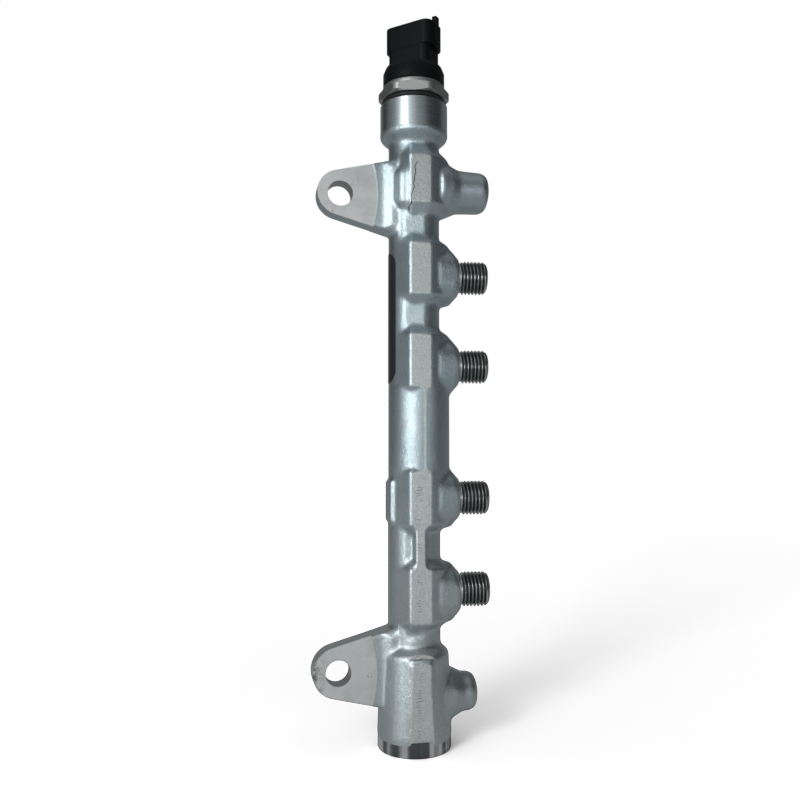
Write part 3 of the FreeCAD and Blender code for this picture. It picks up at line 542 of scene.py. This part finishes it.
def soften(mesh):
    """Rounds the forging's edges and fills its hollows, as dies and blasting leave them."""
    count = len(mesh.vertices)
    points = np.empty(count * 3)
    mesh.vertices.foreach_get("co", points)
    points = points.reshape(-1, 3)
    normals = np.empty(count * 3)
    mesh.vertices.foreach_get("normal", normals)
    normals = normals.reshape(-1, 3)
    ends = np.empty(len(mesh.edges) * 2, dtype=np.int64)
    mesh.edges.foreach_get("vertices", ends)
    first, second = ends.reshape(-1, 2).T
    degree = np.bincount(first, minlength=count) + np.bincount(second, minlength=count)

    def towards_neighbours(places):
        total = np.empty_like(places)
        for axis in range(3):
            total[:, axis] = np.bincount(first, places[second, axis], count)
            total[:, axis] += np.bincount(second, places[first, axis], count)
        return total / degree[:, None] - places

    for _ in range(SOFTEN_ROUNDS):
        points += 0.5 * towards_neighbours(points)
    for _ in range(FILL_ROUNDS):
        step = towards_neighbours(points)
        outward = np.einsum("ij,ij->i", step, normals)
        points += 0.5 * step * (outward > 0)[:, None]
    for _ in range(2):
        points += 0.5 * towards_neighbours(points)
    reach = np.where(points[:, 2] < END_LAND_TOP, END_LAND_REACH, LAND_REACH)
    reach[points[:, 2] > COLLAR_BOTTOM - COLLAR_FLARE_HEIGHT] = np.inf
    points[:, 1] = np.clip(points[:, 1], -reach, reach)
    mesh.vertices.foreach_set("co", points.ravel())
    mesh.update()


def rod_cutter(bm, radius, x, y, z, length, segments):
    """Adds a rod along Y to the cutter, centred on (x, y, z)."""
    turn = Matrix.Rotation(math.pi / 2, 4, "X")
    bmesh.ops.create_cone(
        bm, cap_ends=True, segments=segments, radius1=radius, radius2=radius, depth=length,
        matrix=Matrix.Translation((x, y, z)) @ turn,
    )


def machining_cutters():
    """What the face mill takes off both sides of the two lugs, as one mesh."""
    bm = bmesh.new()
    for height in LUG_HEIGHTS:
        for side in (-1, 1):
            y = side * (LUG_HALF_THICKNESS + MILLING_DEPTH / 2)
            x = -MILLED_FACE_START - MILLING_CUTTER_R
            rod_cutter(bm, MILLING_CUTTER_R, x, y, height, MILLING_DEPTH, 360)
    mesh = bpy.data.meshes.new("milling_cutters")
    bm.to_mesh(mesh)
    bm.free()
    return mesh


def drilling_cutters():
    """What the drill takes out of the two lugs, as one mesh."""
    bm = bmesh.new()
    for height in LUG_HEIGHTS:
        rod_cutter(bm, LUG_HOLE_R, -LUG_REACH, 0, height, DRILL_LENGTH, 96)
    mesh = bpy.data.meshes.new("drilling_cutters")
    bm.to_mesh(mesh)
    bm.free()
    return mesh


def cut_away(mesh, cutter_mesh):
    target = bpy.data.objects.new("cut_target", mesh)
    cutter = bpy.data.objects.new("cutter", cutter_mesh)
    for part in (target, cutter):
        bpy.context.scene.collection.objects.link(part)
    modifier = target.modifiers.new("cut", "BOOLEAN")
    modifier.operation = "DIFFERENCE"
    modifier.solver = "MANIFOLD"
    modifier.object = cutter
    made = bpy.data.meshes.new_from_object(
        target.evaluated_get(bpy.context.evaluated_depsgraph_get())
    )
    for part in (target, cutter):
        data = part.data
        bpy.data.objects.remove(part)
        bpy.data.meshes.remove(data)
    return made


def mark_machined_faces(mesh):
    """Material 1 for the milled faces, material 2 for the bolt holes."""
    for face in mesh.polygons:
        centre = face.center
        if centre.x > -MILLED_FACE_START + 1 * MM:
            continue
        nearest = min(abs(centre.z - height) for height in LUG_HEIGHTS)
        if abs(abs(centre.y) - LUG_HALF_THICKNESS) < 0.02 * MM and abs(face.normal.y) > 0.99:
            face.material_index = 1
        elif math.hypot(centre.x + LUG_REACH, nearest) < LUG_HOLE_R + 0.1 * MM:
            face.material_index = 2


def mark_trimmed_lands(mesh):
    """Stores on each vertex whether it lies on a trimmed flat, front or back."""
    points = np.empty(len(mesh.vertices) * 3)
    mesh.vertices.foreach_get("co", points)
    x, y, z = np.abs(points.reshape(-1, 3)).T
    reach = np.where(z < END_LAND_TOP, END_LAND_REACH, LAND_REACH)
    trimmed = (y > reach - LAND_DEPTH_TOLERANCE) & (x < LAND_HALF_WIDTH)
    trimmed &= z < COLLAR_BOTTOM - COLLAR_FLARE_HEIGHT
    layer = mesh.attributes.new("trimmed", "FLOAT", "POINT")
    layer.data.foreach_set("value", trimmed.astype(np.float32))


def make_forging(materials):
    mesh = remeshed(forging_before_machining(), VOXEL)
    soften(mesh)
    mesh = cut_away(mesh, machining_cutters())
    mesh = cut_away(mesh, drilling_cutters())
    mesh.name = "rail_forging"
    piece = show_mesh("rail_forging", mesh, materials, 40)
    mark_machined_faces(mesh)
    mark_trimmed_lands(mesh)
    for name in FORGED_NODES:
        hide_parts(name)


def thread_wave(phase):
    """Depth share of a 60 degree thread at a share of its pitch: 0 on the crest, 1 in the root."""
    crest = 0.09
    root = 0.14
    flank = (1 - crest - root) / 2
    place = phase % 1.0
    if place < crest:
        return 0.0
    if place < crest + flank:
        return (place - crest) / flank
    if place < crest + flank + root:
        return 1.0
    return (1 - place) / flank


def nipple_envelope(along):
    """Greatest radius of a nipple at a distance along its axis."""
    relief_r = NIPPLE_R - NIPPLE_RELIEF_DEPTH
    rise_start = NIPPLE_BASE_END + NIPPLE_RELIEF_LENGTH
    radius = min(NIPPLE_R, max(relief_r, relief_r + (along - rise_start)))
    from_tip = NIPPLE_TIP - along
    if from_tip < NIPPLE_TIP_ROUND:
        share = 1 - from_tip / NIPPLE_TIP_ROUND
        fall = 1 - math.sqrt(max(0, 1 - share * share))
        radius = min(radius, NIPPLE_R - NIPPLE_TIP_ROUND * NIPPLE_TIP_SLOPE * fall)
    return radius


def nipple_rows():
    """Rows (along, radius, is_thread) from inside the forged base out to the tip and into the bore."""
    rows = []
    along = NIPPLE_BASE_END - NIPPLE_SUNK_LENGTH
    while along < NIPPLE_TIP:
        rows.append((along, nipple_envelope(along), True))
        along += THREAD_ROW
    rows.append((NIPPLE_TIP, SEAT_RIM_R, False))
    rows.append((NIPPLE_TIP, SEAT_R + SEAT_EDGE, False))
    rows.append((NIPPLE_TIP - SEAT_EDGE_DEPTH, SEAT_R, False))
    rows.append((NIPPLE_TIP - SEAT_DEPTH, THROTTLE_R, False))
    rows.append((NIPPLE_TIP - THROTTLE_DEPTH, THROTTLE_R, False))
    return rows


def add_nipple(bm, height, rows, root_shade_layer):
    """One nipple with its helical thread, at the given height."""
    place = Matrix.Translation((0, 0, height)) @ Matrix.Rotation(NIPPLE_TURN, 4, "Z")
    grid = []
    for along, radius, threaded in rows:
        line = []
        for column in range(THREAD_COLUMNS):
            angle = math.tau * column / THREAD_COLUMNS
            share = thread_wave(along / THREAD_PITCH - column / THREAD_COLUMNS) if threaded else 0.0
            cut_r = min(radius, NIPPLE_R - THREAD_DEPTH * share)
            point = Vector((along, cut_r * math.cos(angle), cut_r * math.sin(angle)))
            vert = bm.verts.new(place @ point)
            # The root share also sets the painted shade in the thread roots.
            vert[root_shade_layer] = share if cut_r < radius else 0.0
            line.append(vert)
        grid.append(line)
    for near, far in zip(grid, grid[1:]):
        for column in range(THREAD_COLUMNS):
            after = (column + 1) % THREAD_COLUMNS
            bm.faces.new((near[column], near[after], far[after], far[column]))
    bm.faces.new(grid[0])
    bm.faces.new(grid[-1])


def make_nipples(material):
    bm = bmesh.new()
    root_shade_layer = bm.verts.layers.float.new("thread_root_shade")
    rows = nipple_rows()
    for height in NIPPLE_HEIGHTS:
        add_nipple(bm, height, rows, root_shade_layer)
    piece = show("line_nipples", bm, [material], 50)


def make_turned_ends(collar_material, band_material):
    collar = lathe([
        (PORT_R, COLLAR_BOTTOM),
        (COLLAR_R - COLLAR_EDGE, COLLAR_BOTTOM),
        (COLLAR_R, COLLAR_BOTTOM + COLLAR_EDGE),
        (COLLAR_R, COLLAR_TOP - COLLAR_RIM_CHAMFER),
        (COLLAR_R - COLLAR_RIM_CHAMFER, COLLAR_TOP),
        (PORT_R, COLLAR_TOP),
        (PORT_R, COLLAR_BOTTOM),
    ])
    piece = show("sensor_collar_turned", collar, [collar_material])
    band = lathe([
        (0, BAND_TOP),
        (BAND_R - BAND_EDGE, BAND_TOP),
        (BAND_R, BAND_TOP - BAND_EDGE),
        (BAND_R, BAND_ROUND),
        (BAND_R - BAND_ROUND_MIDDLE_IN, BAND_ROUND_MIDDLE_UP),
        (BAND_R - BAND_ROUND, 0),
        (0, 0),
    ])
    piece = show("end_band_turned", band, [band_material])


def dress_node(name, material, bevel=0.0, sharp_degrees=30.0):
    """A copy of a CAD node with joined faces, soft edges and smooth shading."""
    bm = node_copy(name)
    bmesh.ops.dissolve_limit(
        bm, angle_limit=math.radians(0.5), verts=bm.verts, edges=bm.edges,
        delimit={"NORMAL"},
    )
    mesh = bpy.data.meshes.new(name + "_dressed")
    bm.to_mesh(mesh)
    bm.free()
    piece = show_mesh(name + "_dressed", mesh, [material], sharp_degrees)
    if bevel:
        modifier = piece.modifiers.new("soft_edges", "BEVEL")
        modifier.width = bevel
        modifier.segments = 2
        modifier.limit_method = "ANGLE"
        modifier.angle_limit = math.radians(sharp_degrees)
        modifier.harden_normals = True
    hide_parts(name)
    return piece


def place_camera():
    data = bpy.data.cameras.new("camera")
    data.lens = CAMERA_LENS
    data.sensor_width = 36
    data.clip_start = 0.01
    data.clip_end = 20
    camera = bpy.data.objects.new("camera", data)
    bpy.context.scene.collection.objects.link(camera)
    right = Vector((math.cos(CAMERA_TURN), math.sin(CAMERA_TURN), 0))
    back = Vector((math.sin(CAMERA_TURN), -math.cos(CAMERA_TURN), 0))
    forward = -back * math.cos(CAMERA_PITCH) + Vector((0, 0, math.sin(CAMERA_PITCH)))
    up = right.cross(forward)
    turn = Matrix((right, up, -forward)).transposed()
    camera.location = back * CAMERA_DISTANCE + right * CAMERA_SIDE + Vector((0, 0, CAMERA_HEIGHT))
    camera.rotation_mode = "QUATERNION"
    camera.rotation_quaternion = turn.to_quaternion()
    bpy.context.scene.camera = camera


def softbox(name, azimuth, elevation, distance, width, height, power):
    """A soft area light aimed at the rail's middle. Azimuth 0 is in front, on -Y."""
    data = bpy.data.lights.new(name, "AREA")
    data.shape = "RECTANGLE"
    data.size = width
    data.size_y = height
    data.energy = power
    light = bpy.data.objects.new(name, data)
    bpy.context.scene.collection.objects.link(light)
    azimuth = math.radians(azimuth)
    elevation = math.radians(elevation)
    away = Vector((
        math.sin(azimuth) * math.cos(elevation),
        -math.cos(azimuth) * math.cos(elevation),
        math.sin(elevation),
    ))
    light.location = Vector((0, 0, 0.15)) + away * distance
    light.rotation_mode = "QUATERNION"
    light.rotation_quaternion = away.to_track_quat("Z", "Y")


def glow(tree, direction, azimuth, elevation, width, level):
    """A soft round patch of light on the room's wall. Azimuth 0 is in front, on -Y."""
    azimuth = math.radians(azimuth)
    elevation = math.radians(elevation)
    aim = (
        math.sin(azimuth) * math.cos(elevation),
        -math.cos(azimuth) * math.cos(elevation),
        math.sin(elevation),
    )
    made = add_node(tree, "ShaderNodeVectorMath", operation="DOT_PRODUCT")
    made.inputs[1].default_value = aim
    tree.links.new(direction, made.inputs[0])
    return remap(tree, made.outputs["Value"], math.cos(math.radians(width)), 1, 0, level)


def light_scene():
    """A white background for the camera, and a dim room lit by soft patches, mostly front left."""
    world = bpy.data.worlds.new("room")
    bpy.context.scene.world = world
    world.use_nodes = True
    tree = world.node_tree
    tree.nodes.clear()
    direction = add_node(tree, "ShaderNodeTexCoord").outputs["Generated"]
    room = ROOM_LEVEL
    for patch in ROOM_GLOWS:
        room = arithmetic(tree, "ADD", glow(tree, direction, *patch), room)
    seen = add_node(tree, "ShaderNodeLightPath")
    room_light = add_node(tree, "ShaderNodeBackground", {"Color": (1, 1, 1, 1)})
    tree.links.new(room, room_light.inputs["Strength"])
    backdrop = add_node(tree, "ShaderNodeBackground", {"Color": (1, 1, 1, 1), "Strength": 1})
    choice = add_node(tree, "ShaderNodeMixShader")
    tree.links.new(seen.outputs["Is Camera Ray"], choice.inputs["Fac"])
    tree.links.new(room_light.outputs["Background"], choice.inputs[1])
    tree.links.new(backdrop.outputs["Background"], choice.inputs[2])
    output = add_node(tree, "ShaderNodeOutputWorld")
    tree.links.new(choice.outputs["Shader"], output.inputs["Surface"])
    softbox("key", -44, 8, 0.9, 0.26, 0.7, 3.2)


def make_floor():
    """A pale floor that fades into the background away from the rail."""
    material, tree, shader, place = new_material("floor")
    tone = remap(tree, noise(tree, place, 3, 1), 0.3, 0.7, 0, 1)
    colour = mixed(tree, tone, (0.93, 0.93, 0.93), (0.95, 0.95, 0.95))
    tree.links.new(colour, shader.inputs["Base Color"])
    shader.inputs["Roughness"].default_value = 1.0
    shader.inputs["Specular IOR Level"].default_value = 0.0
    bm = bmesh.new()
    bmesh.ops.create_grid(bm, x_segments=1, y_segments=1, size=2.5)
    mesh = bpy.data.meshes.new("floor")
    bm.to_mesh(mesh)
    bm.free()
    mesh.materials.append(material)
    floor = bpy.data.objects.new("floor", mesh)
    bpy.context.scene.collection.objects.link(floor)
    floor.is_shadow_catcher = True


def colour_inner_nodes():
    """Materials for the CAD nodes that stay as they are."""
    looks = {
        "label_foil": label_foil(),
        "pressure_cell": simple_material(
            "cell_steel", (0.55, 0.55, 0.54), (0.45, 0.45, 0.44), 1.0, 0.35
        ),
        "circuit_board": simple_material(
            "board_laminate", (0.02, 0.12, 0.05), (0.03, 0.16, 0.07), 0.0, 0.4
        ),
        "housing_seal": black_rubber(),
        "contact_pins": simple_material(
            "contact_metal", (0.72, 0.66, 0.5), (0.6, 0.55, 0.42), 1.0, 0.3
        ),
    }
    for name, material in looks.items():
        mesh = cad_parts[name].data
        mesh.materials.clear()
        mesh.materials.append(material)


zinc = forged_zinc()
drilled = turned_steel("drilled_steel", (0.42, 0.43, 0.44), 0.35, 0)
make_forging([zinc, milled_steel(), drilled])
make_nipples(threaded_steel())
make_turned_ends(
    turned_steel("collar_steel", (0.55, 0.63, 0.66), 0.24, 0),
    # The end band carries painted reflection bands along Z.
    turned_steel("band_steel", (0.78, 0.80, 0.80), 0.16, 0.9),
)
hexagon_steel = simple_material("hexagon_steel", (0.46, 0.48, 0.47), (0.38, 0.4, 0.39), 1.0, 0.42)
dress_node("sensor_body", hexagon_steel, 0.12 * MM)
dress_node("dust_seal", black_rubber())
dress_node("connector_housing", black_nylon(), 0.18 * MM)
colour_inner_nodes()
make_floor()
light_scene()
place_camera()
scene = bpy.context.scene
scene.view_settings.view_transform = "Standard"
